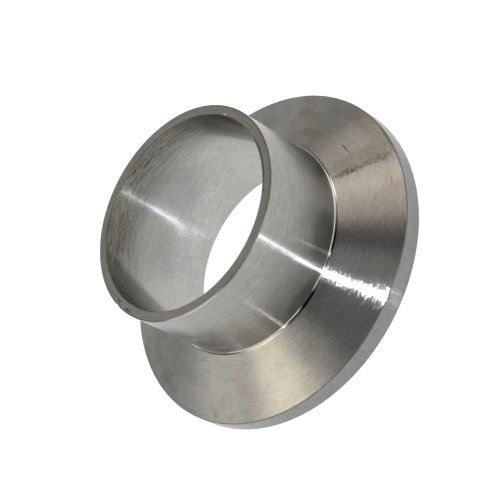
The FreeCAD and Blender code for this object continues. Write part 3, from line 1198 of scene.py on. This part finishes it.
BORE_SPOTS = (
    Spot("first dark spot by the mouth", 62.4, 18.9, 0.5, 0.24, (0.3, 0.27, 0.23), ragged=1.6, depth=0.01),
    Spot("second dark spot by the mouth", 74.5, 18.9, 0.9, 0.2, (0.4, 0.36, 0.3), ragged=1.6, depth=0.01),
    Spot("third dark spot by the mouth", 80.0, 19.9, 1.0, 0.16, (0.4, 0.36, 0.3), ragged=1.6),
    Spot("fourth dark spot by the mouth", 88.0, 19.2, 0.7, 0.14, (0.5, 0.45, 0.4), ragged=1.6),
    Spot("fifth dark spot by the mouth", 129.0, 18.4, 1.0, 0.22, (0.55, 0.5, 0.44), ragged=1.8),
    Spot("dark cloud by the mouth", 118.0, 17.6, 3.4, 2.2, (0.78, 0.75, 0.7), ragged=1.8),
    # Painted shade on the wall below the mouth: two slanted patches, and a darker one under the lip
    Spot("first painted shade on the wall", 15.0, 16.0, 5.0, 4.5, (0.5, 0.5, 0.485), slant=-0.5, ragged=0.25, brushed=False),
    Spot("painted shade under the lip", 3.5, 20.0, 3.4, 2.8, (0.36, 0.36, 0.36), ragged=0.2, brushed=False),
    Spot(
        "second painted shade on the wall",
        159.0,
        17.2,
        5.0,
        4.6,
        (0.8, 0.78, 0.75),
        slant=0.7,
        ragged=0.25,
        brushed=False,
    ),
    # Wide painted shade on the bore round the lamp's streak
    Spot("painted shade in the bore", 101.0, 11.3, 11.0, 7.2, (0.77, 0.77, 0.77), ragged=0.6, brushed=False),
    Spot("first fleck", 118.0, 12.6, 0.4, 0.16, (0.7, 0.66, 0.6), ragged=1.6),
    Spot("second fleck", 70.0, 9.4, 0.5, 0.14, (0.7, 0.67, 0.62), ragged=1.6),
    Spot("third fleck", 52.0, 6.5, 0.5, 0.16, (0.72, 0.68, 0.63), ragged=1.6),
)
LIP_SPOTS = (
    # Burrs, raised a little, whose glints are painted highlights in the colour
    Spot("first burr, painted glint", 166.0, 15.45, 0.16, 0.1, (2.8, 2.8, 2.8), depth=-0.02, brushed=False),
    Spot("second burr, painted glint", 168.5, 15.6, 0.14, 0.1, (2.8, 2.8, 2.8), depth=-0.02, brushed=False),
    Spot("third burr, painted glint", 171.5, 15.3, 0.22, 0.12, (2.6, 2.6, 2.6), depth=-0.02, brushed=False),
    Spot("fourth burr, painted glint", 174.0, 15.5, 0.14, 0.1, (2.8, 2.8, 2.8), depth=-0.02, brushed=False),
    Spot("fifth burr, painted glint", 176.5, 15.2, 0.12, 0.1, (2.6, 2.6, 2.6), depth=-0.02, brushed=False),
    Spot("first torn patch", 169.0, 15.35, 0.9, 0.35, (0.5, 0.48, 0.46), ragged=2.4, depth=0.06),
    Spot("second torn patch", 178.0, 15.45, 0.7, 0.25, (0.5, 0.45, 0.4), ragged=2.4, depth=0.06),
    Spot("first pit", 300.4, 14.9, 0.2, 0.14, (0.5, 0.45, 0.4), depth=0.03),
    Spot("second pit", 311.9, 15.5, 0.22, 0.14, (0.5, 0.45, 0.4), depth=0.03),
    Spot("third pit", 268.4, 15.9, 0.2, 0.12, (0.5, 0.45, 0.4), depth=0.03),
    # Another raised burr with a painted glint
    Spot("burr mark, painted glint", 5.6, 14.72, 0.22, 0.16, (2.8, 2.8, 2.8), depth=-0.03, brushed=False),
    Spot("inner edge line", 118.0, 14.75, 2.6, 0.12, (0.4, 0.37, 0.33), ragged=0.8),
    Spot("dark inner edge line", 318.0, 14.75, 5.0, 0.2, (0.5, 0.45, 0.4), ragged=0.8, brushed=False),
    Spot("tan edge line", 138.0, 14.7, 3.0, 0.1, (0.95, 0.78, 0.62), ragged=0.8),
)
RIM_SPOTS = (
    # A painted glint where the lamp's streak reaches the rim
    Spot("painted glint on the rim", 277.0, 1.4, 1.5, 1.3, (1.45, 1.45, 1.43), ragged=1.6),
)
EDGE_SPOTS = (
    # A painted highlight along the stub's outer edge
    Spot("painted highlight on the edge", 226.0, 20.6, 5.5, 0.8, (2.5, 2.7, 3.0), ragged=0.6, brushed=False),
)
# Darkening of the bore toward its mouth: the first, from deeper down, is partly a stain and partly painted
# shade under the lip; the second, nearer the mouth, is a brownish stain
MOUTH_STAINS_AND_SHADE = (
    StainOrShade(12.0, 17.6, (0.5, 0.485, 0.45), streak_length=3.5, streak_pitch=0.3, least=0.62, dull=0.02),
    StainOrShade(17.0, 18.6, (0.66, 0.62, 0.56), streak_length=1.6, streak_pitch=0.13, least=0.0, dull=0.06),
)
# Painted shade: the stub darkens a little toward the root
PAINTED_ROOT_SHADE = (StainOrShade(9.8, 7.0, (0.92, 0.92, 0.92), least=0.8),)

# Each zone's own steel; the root's is painted lighter, and the rim's and the broken edges' painted darker
FINISHES = {
    Zone.STUB: SteelFinish(
        "brushed steel, stub",
        colour=(0.34, 0.333, 0.32),
        roughness=0.185,
        comb_lean=0.007,
        lines=(
            Lines(3.0, 0.13, waver=0.02, shade=0.1, depth=0.0008),
            Lines(1.0, 0.09, waver=0.02, shade=0.1, dull=0.02, depth=0.0004),
        ),
        warm_tone=(1.0, 0.985, 0.965),
        stains_and_shade=PAINTED_ROOT_SHADE,
        spots=STUB_SPOTS,
    ),
    Zone.BACK: SteelFinish(
        "brushed steel, back of the flange",
        colour=(0.432, 0.423, 0.408),
        roughness=0.15,
        comb_length=0.8,
        comb_lean=0.027,
        lines=(
            Lines(1.7, 0.2, waver=0.05, shade=0.06, depth=0.002),
            Lines(0.8, 0.12, waver=0.05, shade=0.06, dull=0.02, depth=0.001),
        ),
        cloud_shade=0.07,
        grit_shade=0.04,
        grit_depth=0.0012,
        warm_tone=(1.0, 0.98, 0.96),
        upright=False,
        spots=BACK_SPOTS,
    ),
    # The rim's steel is painted darker than the rest, standing in for the shaded floor it mirrors
    Zone.RIM: SteelFinish(
        "turned steel, rim",
        colour=(0.246, 0.244, 0.239),
        roughness=0.19,
        lines=(
            Lines(0.12, 1.4, shade=0.13, depth=0.0006),
            Lines(4.0, 0.25, waver=0.1, shade=0.04, depth=0.001),
        ),
        warm_tone=(1.0, 0.99, 0.98),
        spots=RIM_SPOTS,
    ),
    # The root's steel is painted much lighter than the rest, so that the fillet's reflected line shows
    # lighter
    Zone.ROOT: SteelFinish(
        "smooth cut steel, root",
        colour=(0.62, 0.6, 0.56),
        roughness=0.17,
        anisotropy=0.8,
        lines=(Lines(4.0, 0.2, shade=0.05, depth=0.0006),),
        spots=ROOT_SPOTS,
    ),
    Zone.BORE: SteelFinish(
        "bored steel",
        colour=(0.455, 0.45, 0.435),
        roughness=0.2,
        comb_length=0.5,
        comb_pitch=0.1,
        comb_lean=0.01,
        lines=(
            Lines(5.0, 0.18, waver=0.02, shade=0.05, depth=0.001),
            Lines(1.4, 0.1, waver=0.02, shade=0.08),
            Lines(2.5, 1.3, waver=0.4, depth=0.008),
        ),
        cloud_shade=0.06,
        grit_size=0.22,
        grit_shade=0.05,
        warm_tone=(0.98, 0.99, 0.96),
        stains_and_shade=MOUTH_STAINS_AND_SHADE,
        spots=BORE_SPOTS,
    ),
    Zone.LIP: SteelFinish(
        "faced steel, lip",
        colour=(0.4, 0.389, 0.372),
        roughness=0.42,
        anisotropy=0.5,
        lines=(
            Lines(1.4, 0.12, waver=0.2, shade=0.08, depth=0.002),
            Lines(9.0, 0.24, waver=0.1, shade=0.12),
        ),
        grit_shade=0.1,
        grit_depth=0.002,
        upright=False,
        spots=LIP_SPOTS,
    ),
    Zone.FACE: SteelFinish(
        "faced steel, sealing face",
        lines=(Lines(12.0, 0.22, shade=0.08, depth=0.002),),
        upright=False,
    ),
    # The broken edges' steel is painted darker than the rest, which keeps the lamp's line off them
    Zone.EDGE: SteelFinish(
        "broken edge",
        colour=(0.24, 0.235, 0.225),
        roughness=0.5,
        anisotropy=0.2,
        lines=(Lines(2.0, 0.2, waver=0.2, shade=0.12, depth=0.002),),
        spots=EDGE_SPOTS,
    ),
}

# Small knocks in the edges: azimuth, radius, height, reach and depth
NICKS = (
    Nick(169.0, 15.9, 20.65, 0.7, 0.1),
    Nick(172.5, 15.6, 20.68, 0.5, 0.07),
    Nick(5.6, 14.6, 20.68, 0.3, 0.04),
    Nick(299.0, 15.95, 20.6, 0.5, 0.07),
    Nick(96.0, 14.6, 20.68, 0.5, 0.05),
    Nick(233.0, 25.2, 2.85, 0.6, 0.05),
    Nick(322.0, 25.2, 2.85, 0.6, 0.05),
)


def main() -> None:
    """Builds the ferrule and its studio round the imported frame."""
    logging.basicConfig(level=logging.INFO, format="%(name)s: %(message)s")
    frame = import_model()
    mounts = {mount["name"]: mount for mount in frame["record"]["mounts"]}
    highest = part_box(NODE)[1]
    body = FerruleBody(
        bore_radius=mounts["bore"]["dims"]["r_mm"],
        stub_radius=mounts["stub"]["dims"]["r_mm"],
        flange_radius=mounts["flange_rim"]["dims"]["r_mm"],
        height=highest.z / MM,
        nicks=NICKS,
        finishes=FINISHES,
    )
    piece = body.build(SurfaceEffects())
    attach(piece, "root")
    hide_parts(NODE)
    LOG.info("%s: %d faces", piece.name, len(piece.data.polygons))
    PhotoCamera().build()
    Studio().build()
    bpy.context.scene.view_settings.view_transform = "Standard"


if __name__ == "__main__":
    main()
